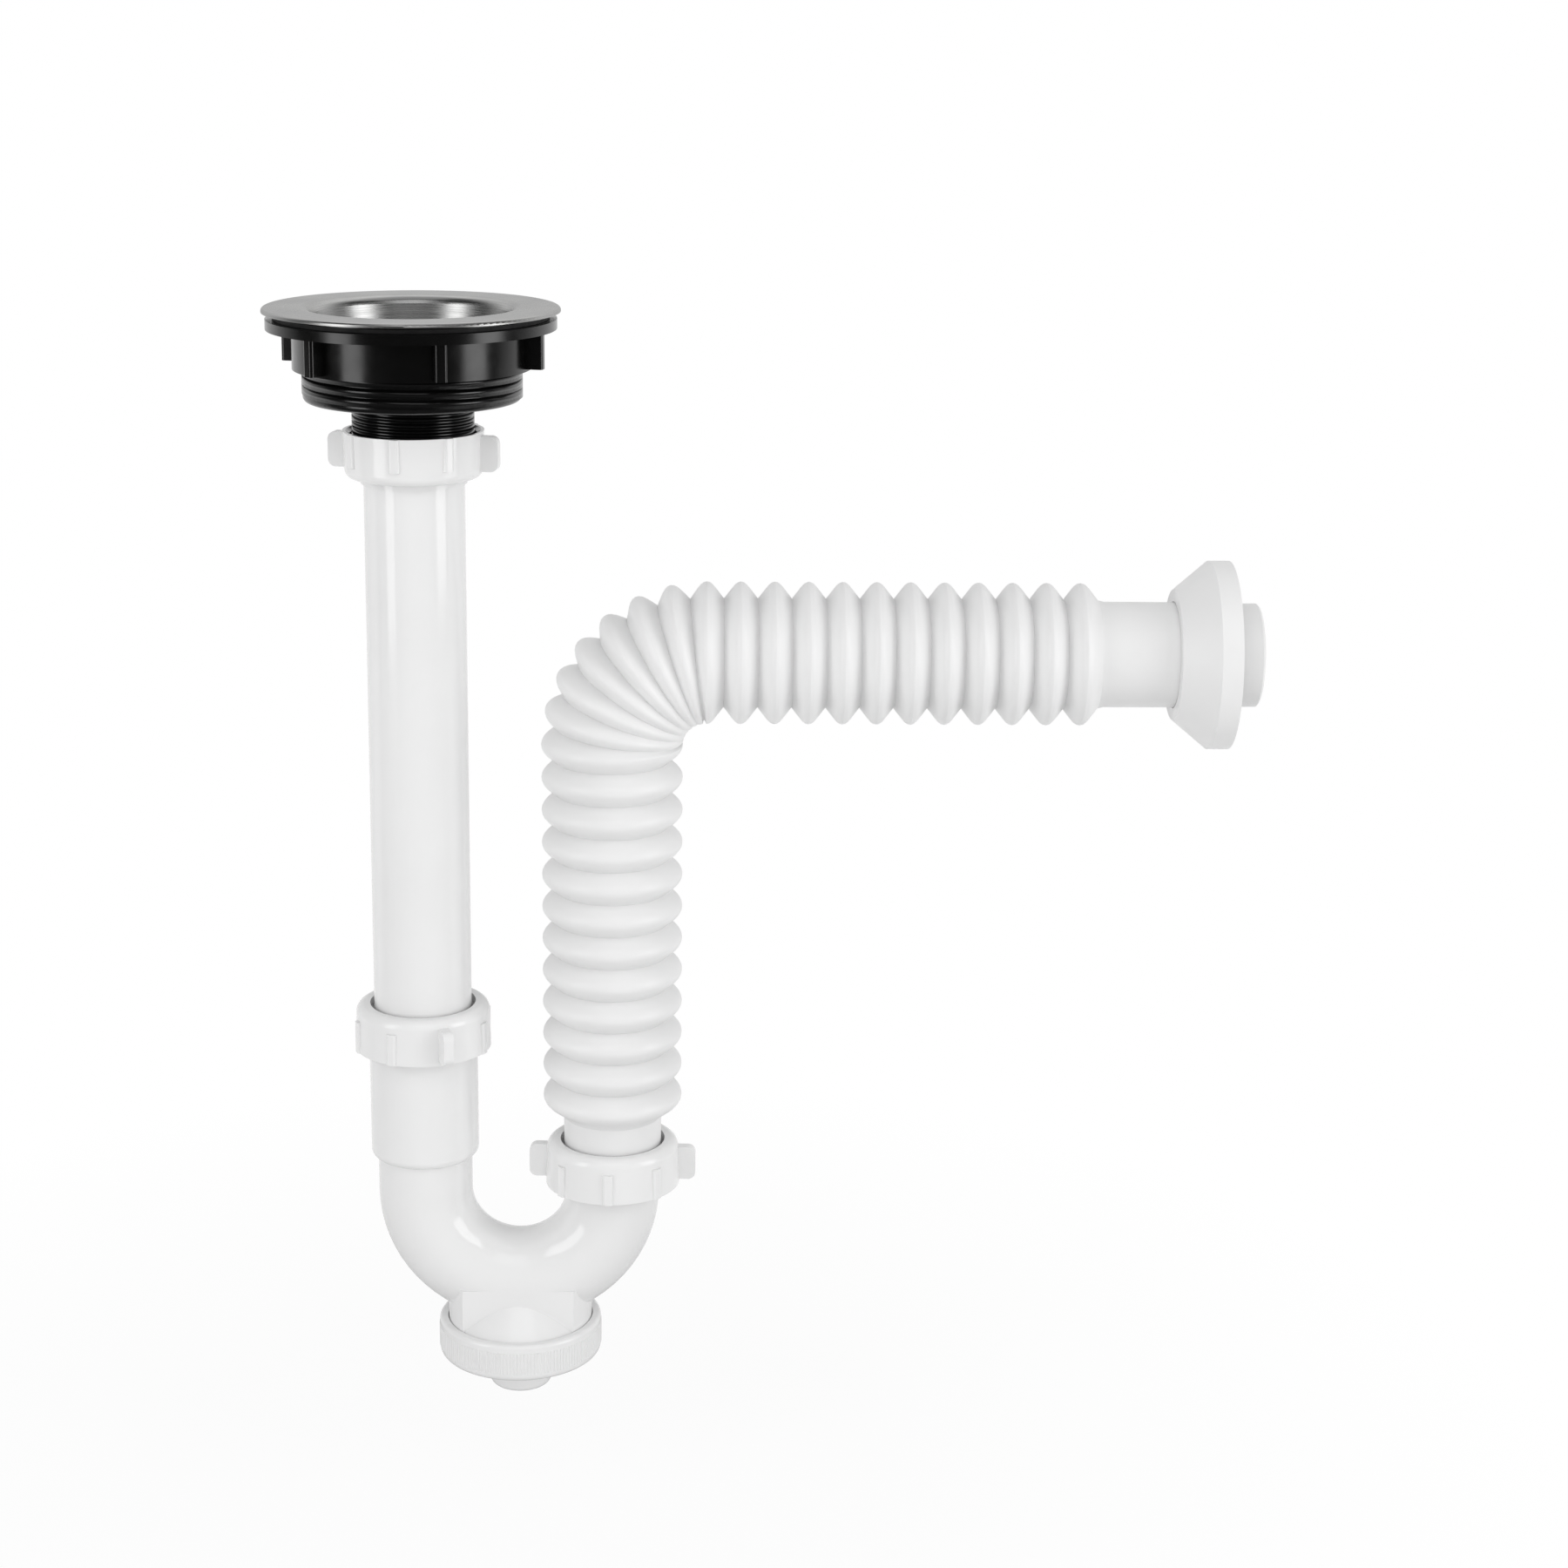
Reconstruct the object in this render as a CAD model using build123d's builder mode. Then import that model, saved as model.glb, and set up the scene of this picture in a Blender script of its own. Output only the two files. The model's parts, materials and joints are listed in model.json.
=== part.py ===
from build123d import *
import os
from math import cos, hypot, radians, sin

# A sink trap, in millimetres. Z is up, the sink's top face is Z = 0, and the outlet points along +X.

# Gaps between pieces that fit together
seat_gap = 0.1
slip_clearance = 0.35
turn_clearance = 0.3
seal_clearance = 0.25

# Strainer: steel rim, plastic body, gasket
rim_d = 112.0
rim_w = 17.9
rim_t = 0.7
rim_edge_drop = 1.6
rim_edge_fillet = 1.2
throat_depth = 9.0
throat_draft = 2.5
throat_fillet = 4.2
body_flange_inset = 4.0
body_flange_t = 1.8
cup_wall = 2.3
cup_lead_in = 3.0
body_thread_depth = 1.2
body_depth = 31.0
body_floor_t = 3.3
body_floor_slope = 3.3
body_foot_fillet = 2.0
tail_thread_d = 47.8
tail_thread_depth = 1.0
tail_length = 21.0
tail_bore_d = 39.0
grate_bars = 3
grate_bar_w = 2.6
grate_bar_h = 2.6
grate_hub_d = 11.0
gasket_inset = 0.2
gasket_t = 1.7

# Locknut under the sink
locknut_wall = 2.3
locknut_h = 18.7
locknut_flange_d = 109.2
locknut_flange_t = 3.8
locknut_ribs = 6
locknut_rib_w = 4.6
locknut_rib_span_d = 102.6
locknut_rib_stop = 1.0
locknut_rib_fillet = 1.2
locknut_turn_deg = -73.0

# Slip nuts, all three from one mould
nut_thread_d = 47.8
nut_wall = 2.0
nut_draft = 0.6
nut_h = 18.0
nut_shoulder_t = 3.0
nut_hole_d = 41.6
nut_crown_fillet = 3.5
nut_mouth_chamfer = 1.4
nut_places = 8
nut_rib_w = 4.2
nut_rib_d = 55.2
nut_rib_h = 12.5
nut_rib_fillet = 1.2
nut_wing_t = 4.0
nut_wing_span = 66.6
nut_wing_foot = 1.5
nut_wing_h = 13.5
nut_wing_fillet = 3.0
union_nut_turn_deg = -11.0
socket_nut_turn_deg = -68.0
outlet_nut_turn_deg = -3.0

# Down tube and the flat gasket on its flange
tube_d = 38.5
tube_wall = 1.8
tube_length = 266.5
tube_flange_d = 45.6
tube_flange_t = 2.6
tube_neck_d = 40.6
tube_neck_length = 7.8
tube_gasket_t = 2.4

# Cone seals in the slip joints
seal_d = 46.0
seal_h = 5.8
seal_lip_h = 1.8

# U-bend
tube_insertion = 41.7
socket_wall = 1.8
socket_depth = 53.0
socket_shoulder_fillet = 3.0
thread_collar_h = 8.4
leg_d = 37.4
leg_wall = 2.0
leg_spacing = 75.0
leg_drop = 16.7
outlet_rise = 12.2
outlet_depth = 8.6
outlet_foot_d = 39.0
outlet_foot_h = 3.2

# Clean-out under the U-bend
cleanout_d = 58.0
cleanout_cheek_inset = 0.03
cleanout_cone_h = 11.7
cleanout_level = 55.7
cleanout_thread_step = 0.4
cleanout_stub_h = 9.4
cleanout_stub_wall = 4.6
cleanout_bore_d = 31.0
cleanout_gasket_t = 2.0
cleanout_gasket_lip = 0.5
cap_wall = 3.3
cap_floor_t = 3.0
cap_rim_rise = 1.0
cap_rim_fillet = 1.4
cap_foot_fillet = 3.0
cap_boss_d = 25.0
cap_boss_h = 14.5
cap_boss_wall = 2.5
cap_boss_fillet = 3.0

# Flexible pipe: a cuff, corrugations up, round and along, and the outlet spigot
cuff_d = 38.8
cuff_length = 29.8
cuff_step = 2.0
crest_d = 55.0
root_d = 42.0
pipe_wall = 1.5
pitch = 13.1
riser_folds = 11
bend_folds = 7
bend_angle = 90.0
bend_radius = 36.5
run_folds = 11
spigot_d = 40.7
spigot_step = 2.5
spigot_length = 59.5
spigot_tip_d = 40.0
spigot_tip_length = 11.3
spigot_tip_chamfer = 0.8

# Wall rosette on the spigot
rosette_d = 72.8
rosette_neck_d = 50.6
rosette_cone_h = 13.2
rosette_rim_h = 8.0
rosette_wall = 2.0

# Radii and levels worked out from the sizes above
tube_r = tube_d / 2
leg_r = leg_d / 2
leg_bore_r = leg_r - leg_wall
nut_bore_r = nut_thread_d / 2 + turn_clearance
gasket_top = gasket_t
flange_top = gasket_top + body_flange_t
rim_top = flange_top + rim_t
throat_r = rim_d / 2 - rim_w
cup_r = throat_r + rim_t + seat_gap
body_flange_r = rim_d / 2 - body_flange_inset
thread_root_r = cup_r + cup_wall
locknut_bore_r = thread_root_r + body_thread_depth + turn_clearance
tail_root_r = tail_thread_d / 2 - tail_thread_depth
tail_end = -body_depth - tail_length
tube_gasket_top = tail_end - seat_gap
tube_top = tube_gasket_top - tube_gasket_t - seat_gap
tube_flange_bottom = tube_top - tube_flange_t
tube_end = tube_top - tube_length
union_nut_mouth = tube_flange_bottom - seat_gap - nut_shoulder_t + nut_h
socket_top = tube_end + tube_insertion
socket_bore_r = tube_r + slip_clearance
socket_r = socket_bore_r + socket_wall
socket_floor = socket_top - socket_depth
collar_r = nut_thread_d / 2 - turn_clearance
bend_level = socket_floor - leg_drop
outlet_top = bend_level + outlet_rise
outlet_bore_r = cuff_d / 2 + slip_clearance
outlet_floor = outlet_top - outlet_depth
seal_rise = seal_h + 2 * seat_gap
socket_nut_mouth = socket_top + seal_rise + nut_shoulder_t - nut_h
outlet_nut_mouth = outlet_top + seal_rise + nut_shoulder_t - nut_h
cleanout_x = leg_spacing / 2
cleanout_top = bend_level - cleanout_level
cleanout_end = cleanout_top - cleanout_stub_h
cleanout_thread_r = cleanout_d / 2 - cleanout_thread_step
cleanout_mouth_r = cleanout_thread_r - cleanout_stub_wall
cap_bore_r = cleanout_d / 2 + turn_clearance
cap_r = cap_bore_r + cap_wall
cap_gasket_top = cleanout_end - seat_gap
cap_floor = cap_gasket_top - cleanout_gasket_t - seat_gap
cap_bottom = cap_floor - cap_floor_t
pipe_start = outlet_floor + seat_gap
fold_start = pipe_start + cuff_length
bend_start = fold_start + pitch / 2 + riser_folds * pitch
run_level = bend_start + bend_radius
run_start = leg_spacing + bend_radius
fold_end = run_start + run_folds * pitch + pitch / 2
spigot_end = fold_end + spigot_step + spigot_length
rosette_face = spigot_end - spigot_tip_length
rosette_bore_r = spigot_d / 2 + seal_clearance
outlet_axis = Axis((leg_spacing, 0, 0), (0, 0, 1))
cleanout_axis = Axis((cleanout_x, 0, 0), (0, 0, 1))
run_axis = Axis((0, 0, run_level), (1, 0, 0))


def section_at(x):
    """The upright plane through a vertical axis at x: local X is the radius, local Y the height."""
    return Plane(origin=(x, 0, 0), x_dir=(1, 0, 0), z_dir=(0, -1, 0))


def slip_nut(x, mouth, up, turn_deg):
    """A slip nut with two wings and ribs between them, its closed end towards +Z (up 1) or -Z (up -1)."""
    thread_wall_r = nut_bore_r + nut_wall
    sunk_r = thread_wall_r - nut_wall / 2
    rib_length = nut_rib_d / 2 - sunk_r
    wing_length = nut_wing_span / 2 - sunk_r
    wing_places = (0, nut_places // 2)
    place_deg = 360 / nut_places
    axis_plane = Plane(origin=(x, 0, mouth))
    with BuildPart() as nut:
        with BuildSketch(section_at(x)):
            with BuildLine():
                outside = FilletPolyline(
                    (thread_wall_r + nut_draft, mouth),
                    (thread_wall_r, mouth + up * nut_h),
                    (nut_hole_d / 2, mouth + up * nut_h),
                    radius=nut_crown_fillet,
                )
                Polyline(
                    outside @ 1,
                    (nut_hole_d / 2, mouth + up * (nut_h - nut_shoulder_t)),
                    (nut_bore_r, mouth + up * (nut_h - nut_shoulder_t)),
                    (nut_bore_r, mouth + up * nut_mouth_chamfer),
                    (nut_bore_r + nut_mouth_chamfer, mouth),
                    outside @ 0,
                )
            make_face()
        revolve(axis=Axis((x, 0, 0), (0, 0, 1)))
        with BuildSketch(axis_plane):
            for place in range(nut_places):
                if place not in wing_places:
                    rib_deg = turn_deg + place * place_deg
                    with PolarLocations(sunk_r + rib_length / 2, 1, start_angle=rib_deg):
                        Rectangle(rib_length, nut_rib_w)
            rib_tips = vertices().filter_by(lambda tip: hypot(tip.X, tip.Y) > thread_wall_r + nut_draft)
            fillet(rib_tips, nut_rib_fillet)
        extrude(amount=up * nut_rib_h)
        for place in wing_places:
            angle = radians(turn_deg + place * place_deg)
            outward = Vector(cos(angle), sin(angle), 0)
            sideways = outward.cross(Vector(0, 0, 1))
            with BuildSketch(Plane(origin=axis_plane.origin, x_dir=outward, z_dir=sideways)):
                with Locations((sunk_r + wing_length / 2, up * (nut_wing_foot + nut_wing_h / 2))):
                    Rectangle(wing_length, nut_wing_h)
                fillet(vertices().group_by(Axis.X)[-1], nut_wing_fillet)
            extrude(amount=nut_wing_t / 2, both=True)
    return nut


def cone_seal(x, seat, bore_r):
    """A ring seal that stands on a socket's mouth, with a cone lip that reaches into it."""
    inner_r = bore_r - slip_clearance + seal_clearance
    lip_r = bore_r + seal_lip_h - seal_clearance
    bottom = seat + seat_gap
    with BuildPart() as seal:
        with BuildSketch(section_at(x)):
            with BuildLine():
                Polyline(
                    (inner_r, bottom + seal_h),
                    (seal_d / 2, bottom + seal_h),
                    (seal_d / 2, bottom),
                    (lip_r, bottom),
                    (inner_r + seat_gap, bottom - seal_lip_h),
                    (inner_r, bottom - seal_lip_h),
                    close=True,
                )
            make_face()
        revolve(axis=Axis((x, 0, 0), (0, 0, 1)))
    return seal


def ring(x, inner_r, outer_r, bottom, height):
    """A flat ring on a vertical axis."""
    with BuildPart() as flat_ring:
        with BuildSketch(Plane(origin=(x, 0, bottom))):
            Circle(outer_r)
            Circle(inner_r, mode=Mode.SUBTRACT)
        extrude(amount=height)
    return flat_ring


def pipe_plane(angle_deg, level, along=0):
    """The plane across the flexible pipe: upright at a level, turned round the bend, or along its run."""
    angle = radians(angle_deg)
    ahead = Vector(sin(angle), 0, cos(angle))
    turned = Vector(1 - cos(angle), 0, sin(angle)) * bend_radius
    origin = Vector(leg_spacing, 0, level) + turned + ahead * along
    return Plane(origin=origin, x_dir=(0, 1, 0), z_dir=ahead)


# Strainer rim: thin sheet, turned down at its edge and drawn down into a throat that narrows
with BuildPart() as strainer_rim:
    with BuildSketch(section_at(0)):
        with BuildLine():
            show_face = FilletPolyline(
                (rim_d / 2, rim_top - rim_edge_drop),
                (rim_d / 2, rim_top),
                (throat_r, rim_top),
                (throat_r - throat_draft, rim_top - throat_depth),
                radius=[rim_edge_fillet, throat_fillet],
            )
            back_face = FilletPolyline(
                (rim_d / 2 - rim_t, rim_top - rim_edge_drop),
                (rim_d / 2 - rim_t, flange_top),
                (throat_r + rim_t, flange_top),
                (throat_r - throat_draft + rim_t, rim_top - throat_depth),
                radius=[rim_edge_fillet - rim_t, throat_fillet - rim_t],
            )
            Line(show_face @ 0, back_face @ 0)
            Line(show_face @ 1, back_face @ 1)
        make_face()
    revolve(axis=Axis.Z)
strainer_rim.part.label = "strainer_rim"

# Strainer body: flange, threaded cup, floor with a barred drain, threaded tail
with BuildPart() as strainer_body:
    with BuildSketch(section_at(0)):
        with BuildLine():
            cup_side = FilletPolyline(
                (thread_root_r, 0),
                (thread_root_r, -body_depth),
                (tail_root_r, -body_depth),
                radius=body_foot_fillet,
            )
            Polyline(
                cup_side @ 1,
                (tail_root_r, tail_end),
                (tail_bore_d / 2, tail_end),
                (tail_bore_d / 2, -body_depth + body_floor_t),
                (cup_r, -body_depth + body_floor_t + body_floor_slope),
                (cup_r, flange_top - cup_lead_in),
                (cup_r + cup_lead_in, flange_top - seat_gap),
                (body_flange_r, flange_top - seat_gap),
                (body_flange_r, gasket_top),
                (thread_root_r, gasket_top),
                cup_side @ 0,
            )
        make_face()
    revolve(axis=Axis.Z)
    with BuildSketch(Plane(origin=(0, 0, -body_depth + body_floor_t - grate_bar_h))):
        with PolarLocations(0, grate_bars, angular_range=180):
            Rectangle(tail_bore_d + tail_thread_depth, grate_bar_w)
        Circle(grate_hub_d / 2)
    extrude(amount=grate_bar_h)
strainer_body.part.label = "strainer_body"

# Gasket under the body's flange
rim_gasket = ring(0, locknut_bore_r, body_flange_r - gasket_inset, seat_gap, gasket_t - 2 * seat_gap)
rim_gasket.part.label = "rim_gasket"

# Locknut with its flange and grip ribs
with BuildPart() as locknut:
    with BuildSketch(section_at(0)):
        with BuildLine():
            Polyline(
                (locknut_bore_r, 0),
                (locknut_flange_d / 2, 0),
                (locknut_flange_d / 2, -locknut_flange_t),
                (locknut_bore_r + locknut_wall, -locknut_flange_t),
                (locknut_bore_r + locknut_wall, -locknut_h),
                (locknut_bore_r, -locknut_h),
                close=True,
            )
        make_face()
    revolve(axis=Axis.Z)
    with BuildSketch(Plane(origin=(0, 0, -locknut_flange_t))):
        with PolarLocations(0, locknut_ribs, start_angle=locknut_turn_deg):
            with Locations(((locknut_bore_r + locknut_wall / 2 + locknut_rib_span_d / 2) / 2, 0)):
                Rectangle(locknut_rib_span_d / 2 - locknut_bore_r - locknut_wall / 2, locknut_rib_w)
        rib_tips = vertices().filter_by(lambda tip: hypot(tip.X, tip.Y) > locknut_bore_r + locknut_wall)
        fillet(rib_tips, locknut_rib_fillet)
    extrude(amount=-(locknut_h - locknut_flange_t - locknut_rib_stop))
locknut.part.label = "locknut"

# Union nut, closed end down under the tube's flange
union_nut = slip_nut(0, union_nut_mouth, -1, union_nut_turn_deg)
union_nut.part.label = "union_nut"

# Flat gasket between the strainer's tail and the tube's flange
tube_gasket = ring(0, tube_r - tube_wall, tube_flange_d / 2, tube_gasket_top - tube_gasket_t, tube_gasket_t)
tube_gasket.part.label = "tube_gasket"

# Down tube with its flange and neck
with BuildPart() as down_tube:
    with BuildSketch(section_at(0)):
        with BuildLine():
            Polyline(
                (tube_r - tube_wall, tube_top),
                (tube_flange_d / 2, tube_top),
                (tube_flange_d / 2, tube_flange_bottom),
                (tube_neck_d / 2, tube_flange_bottom),
                (tube_neck_d / 2, tube_top - tube_neck_length),
                (tube_r, tube_top - tube_neck_length),
                (tube_r, tube_end),
                (tube_r - tube_wall, tube_end),
                close=True,
            )
        make_face()
    revolve(axis=Axis.Z)
down_tube.part.label = "down_tube"

# Slip joint on the U-bend's socket
socket_seal = cone_seal(0, socket_top, socket_bore_r)
socket_seal.part.label = "socket_seal"
socket_nut = slip_nut(0, socket_nut_mouth, 1, socket_nut_turn_deg)
socket_nut.part.label = "socket_nut"

# U-bend: socket, bend, outlet and clean-out stub in one moulding
with BuildPart() as u_bend:
    with BuildLine() as bend_path:
        down_leg = Line((0, 0, socket_floor), (0, 0, bend_level))
        low_bend = ThreePointArc(
            down_leg @ 1, (cleanout_x, 0, bend_level - cleanout_x), (leg_spacing, 0, bend_level)
        )
        Line(low_bend @ 1, (leg_spacing, 0, outlet_floor))
    with BuildSketch(Plane(origin=(0, 0, socket_floor))):
        Circle(leg_r)
    sweep(path=bend_path.wires()[0])
    with BuildSketch(section_at(0)):
        with BuildLine():
            socket_side = FilletPolyline(
                (0, socket_floor - socket_wall),
                (socket_r, socket_floor - socket_wall),
                (socket_r, socket_top - thread_collar_h),
                radius=socket_shoulder_fillet,
            )
            Polyline(
                socket_side @ 1,
                (collar_r, socket_top - thread_collar_h),
                (collar_r, socket_top),
                (0, socket_top),
                socket_side @ 0,
            )
        make_face()
    revolve(axis=Axis.Z)
    with BuildSketch(section_at(leg_spacing)):
        with BuildLine():
            Polyline(
                (0, outlet_top),
                (collar_r, outlet_top),
                (collar_r, outlet_top - thread_collar_h),
                (outlet_foot_d / 2, outlet_top - thread_collar_h - outlet_foot_h),
                (0, outlet_top - thread_collar_h - outlet_foot_h),
                close=True,
            )
        make_face()
    revolve(axis=outlet_axis)
    with BuildSketch(section_at(cleanout_x)):
        with BuildLine():
            Polyline(
                (0, cleanout_top + cleanout_cone_h),
                (leg_r, cleanout_top + cleanout_cone_h),
                (cleanout_d / 2, cleanout_top),
                (cleanout_d / 2, cleanout_top - cap_rim_rise),
                (cleanout_thread_r, cleanout_top - cap_rim_rise),
                (cleanout_thread_r, cleanout_end),
                (0, cleanout_end),
                close=True,
            )
        make_face()
    revolve(axis=cleanout_axis)
    with BuildSketch(Plane(origin=(cleanout_x, 0, cleanout_top))):
        Circle(cleanout_d / 2)
        Rectangle(cleanout_d, leg_d - 2 * cleanout_cheek_inset, mode=Mode.INTERSECT)
    extrude(amount=bend_level - cleanout_x - cleanout_top)
    with BuildSketch(Plane(origin=(0, 0, socket_floor))):
        Circle(leg_bore_r)
    sweep(path=bend_path.wires()[0], mode=Mode.SUBTRACT)
    for x, bore_r, floor, top in (
        (0, socket_bore_r, socket_floor, socket_top),
        (leg_spacing, outlet_bore_r, outlet_floor, outlet_top),
    ):
        with BuildSketch(section_at(x)):
            with BuildLine():
                Polyline(
                    (0, floor),
                    (bore_r, floor),
                    (bore_r, top - seal_lip_h),
                    (bore_r + seal_lip_h, top),
                    (0, top),
                    close=True,
                )
            make_face()
        revolve(axis=Axis((x, 0, 0), (0, 0, 1)), mode=Mode.SUBTRACT)
    with BuildSketch(section_at(cleanout_x)):
        with BuildLine():
            Polyline(
                (0, bend_level - cleanout_x),
                (cleanout_bore_d / 2, bend_level - cleanout_x),
                (cleanout_bore_d / 2, cleanout_top),
                (cleanout_mouth_r, cleanout_top - leg_wall),
                (cleanout_mouth_r, cleanout_end),
                (0, cleanout_end),
                close=True,
            )
        make_face()
    revolve(axis=cleanout_axis, mode=Mode.SUBTRACT)
u_bend.part.label = "u_bend"

# Clean-out cap with its flat gasket
cleanout_gasket = ring(
    cleanout_x,
    cleanout_mouth_r - cleanout_gasket_lip,
    cleanout_thread_r,
    cap_floor + seat_gap,
    cleanout_gasket_t,
)
cleanout_gasket.part.label = "cleanout_gasket"

with BuildPart() as cleanout_cap:
    with BuildSketch(section_at(cleanout_x)):
        with BuildLine():
            skirt = FilletPolyline(
                (cap_bore_r, cleanout_top + cap_rim_rise),
                (cap_r, cleanout_top + cap_rim_rise),
                (cap_r, cap_bottom),
                (cap_boss_d / 2, cap_bottom),
                (cap_boss_d / 2, cap_bottom - cap_boss_h),
                (0, cap_bottom - cap_boss_h),
                radius=[cap_rim_fillet, cap_foot_fillet, cap_rim_fillet, cap_boss_fillet],
            )
            Polyline(
                skirt @ 1,
                (0, cap_bottom - cap_boss_h + cap_boss_wall),
                (cap_boss_d / 2 - cap_boss_wall, cap_bottom - cap_boss_h + cap_boss_wall),
                (cap_boss_d / 2 - cap_boss_wall, cap_floor),
                (cap_bore_r, cap_floor),
                skirt @ 0,
            )
        make_face()
    revolve(axis=cleanout_axis)
cleanout_cap.part.label = "cleanout_cap"

# Slip joint on the U-bend's outlet
outlet_seal = cone_seal(leg_spacing, outlet_top, outlet_bore_r)
outlet_seal.part.label = "outlet_seal"
outlet_nut = slip_nut(leg_spacing, outlet_nut_mouth, 1, outlet_nut_turn_deg)
outlet_nut.part.label = "outlet_nut"

# Flexible pipe: each station is a circle across the pipe, and the wall is ruled from one to the next
fold_radii = (root_d / 2, crest_d / 2)
stations = [(pipe_plane(0, pipe_start), cuff_d / 2), (pipe_plane(0, fold_start - cuff_step), cuff_d / 2)]
for half in range(2 * riser_folds + 2):
    stations.append((pipe_plane(0, fold_start + half * pitch / 2), fold_radii[half % 2]))
half_fold_angle = bend_angle / (2 * bend_folds)
for half in range(1, 2 * bend_folds + 1):
    stations.append((pipe_plane(half * half_fold_angle, bend_start), fold_radii[1 - half % 2]))
for half in range(1, 2 * run_folds + 2):
    stations.append((pipe_plane(bend_angle, bend_start, half * pitch / 2), fold_radii[1 - half % 2]))
spigot_start = fold_end + spigot_step - run_start
stations.append((pipe_plane(bend_angle, bend_start, spigot_start), spigot_d / 2))
stations.append((pipe_plane(bend_angle, bend_start, rosette_face - run_start), spigot_d / 2))
tip_plane = pipe_plane(bend_angle, bend_start, rosette_face - run_start)

with BuildPart() as flexible_pipe:
    for plane, radius in stations:
        with BuildSketch(plane):
            Circle(radius)
    loft(ruled=True)
    with BuildSketch(tip_plane):
        Circle(spigot_tip_d / 2)
    extrude(amount=spigot_tip_length)
    chamfer(edges().group_by(Axis.X)[-1], spigot_tip_chamfer)
    for plane, radius in stations:
        with BuildSketch(plane):
            Circle(radius - pipe_wall)
    loft(ruled=True, mode=Mode.SUBTRACT)
    with BuildSketch(tip_plane):
        Circle(spigot_tip_d / 2 - pipe_wall)
    extrude(amount=spigot_tip_length, mode=Mode.SUBTRACT)
flexible_pipe.part.label = "flexible_pipe"

# Wall rosette: a cone shell on the spigot, open towards the wall
rosette_back = rosette_face - rosette_rim_h - rosette_cone_h
cone_slope = (rosette_d - rosette_neck_d) / 2 / rosette_cone_h
cone_inset = rosette_wall * hypot(1, cone_slope)
inside_start_r = rosette_neck_d / 2 + cone_slope * rosette_wall - cone_inset
inside_rim_r = rosette_d / 2 - rosette_wall
inside_rim_x = rosette_back + rosette_wall + (inside_rim_r - inside_start_r) / cone_slope
with BuildPart() as wall_rosette:
    with BuildSketch(Plane(origin=(0, 0, run_level), x_dir=(1, 0, 0), z_dir=(0, -1, 0))):
        with BuildLine():
            Polyline(
                (rosette_back, rosette_bore_r),
                (rosette_back, rosette_neck_d / 2),
                (rosette_back + rosette_cone_h, rosette_d / 2),
                (rosette_face, rosette_d / 2),
                (rosette_face, inside_rim_r),
                (inside_rim_x, inside_rim_r),
                (rosette_back + rosette_wall, inside_start_r),
                (rosette_back + rosette_wall, rosette_bore_r),
                close=True,
            )
        make_face()
    revolve(axis=run_axis)
wall_rosette.part.label = "wall_rosette"

os.makedirs("parts", exist_ok=True)
for piece in (
    strainer_rim,
    strainer_body,
    rim_gasket,
    locknut,
    union_nut,
    tube_gasket,
    down_tube,
    socket_seal,
    socket_nut,
    u_bend,
    cleanout_gasket,
    cleanout_cap,
    outlet_seal,
    outlet_nut,
    flexible_pipe,
    wall_rosette,
):
    export_step(piece.part, f"parts/{piece.part.label}.step")
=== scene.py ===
# %% [markdown]
# A sink trap, dressed for its portrait.
#
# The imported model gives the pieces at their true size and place. This lesson gives each of them its
# finish, and adds what is too fine for the solids: the screw threads, the grip ribs on the clean-out
# cap, and the soft crests of the corrugated pipe. Everything is in metres, with Z up and the wall
# outlet along +X.

# %% Load the frame
import json
from math import cos, pi, radians, sin

import bmesh
import bpy
from mathutils import Matrix, Vector


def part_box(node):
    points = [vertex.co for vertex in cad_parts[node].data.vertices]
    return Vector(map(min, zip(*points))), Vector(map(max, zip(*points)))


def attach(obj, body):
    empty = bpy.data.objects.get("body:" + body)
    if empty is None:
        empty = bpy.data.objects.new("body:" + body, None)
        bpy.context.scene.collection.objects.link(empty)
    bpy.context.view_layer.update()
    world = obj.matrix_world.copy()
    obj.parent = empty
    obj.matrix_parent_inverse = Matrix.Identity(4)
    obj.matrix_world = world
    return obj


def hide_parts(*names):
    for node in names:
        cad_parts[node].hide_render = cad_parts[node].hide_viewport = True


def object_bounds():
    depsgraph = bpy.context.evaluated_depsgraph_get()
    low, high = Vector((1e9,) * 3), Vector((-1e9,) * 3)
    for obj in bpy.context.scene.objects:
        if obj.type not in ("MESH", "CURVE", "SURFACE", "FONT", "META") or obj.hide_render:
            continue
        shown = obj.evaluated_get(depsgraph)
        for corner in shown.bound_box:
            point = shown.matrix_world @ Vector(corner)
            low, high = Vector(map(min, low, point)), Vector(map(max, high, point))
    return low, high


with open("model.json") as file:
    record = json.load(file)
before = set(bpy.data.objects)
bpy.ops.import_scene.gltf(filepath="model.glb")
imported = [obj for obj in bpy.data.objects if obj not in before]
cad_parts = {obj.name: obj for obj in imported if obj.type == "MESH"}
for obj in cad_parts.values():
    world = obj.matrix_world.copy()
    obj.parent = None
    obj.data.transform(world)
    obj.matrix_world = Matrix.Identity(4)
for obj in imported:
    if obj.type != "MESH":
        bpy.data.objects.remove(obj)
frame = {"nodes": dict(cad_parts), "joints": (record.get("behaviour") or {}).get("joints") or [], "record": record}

MM = 0.001
cad_low, cad_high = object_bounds()
nodes = frame["nodes"]
joint_places = {joint["name"]: Vector(joint.get("pos_m", (0, 0, 0))) for joint in frame["joints"]}
print("pieces in the frame:", len(nodes))

# %% [markdown]
# Shaders and Geometry Nodes are both trees of nodes. One small helper adds a node, sets its options
# and either links or sets each input, so that the trees below read as short lists.

# %% Helpers for node trees


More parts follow.
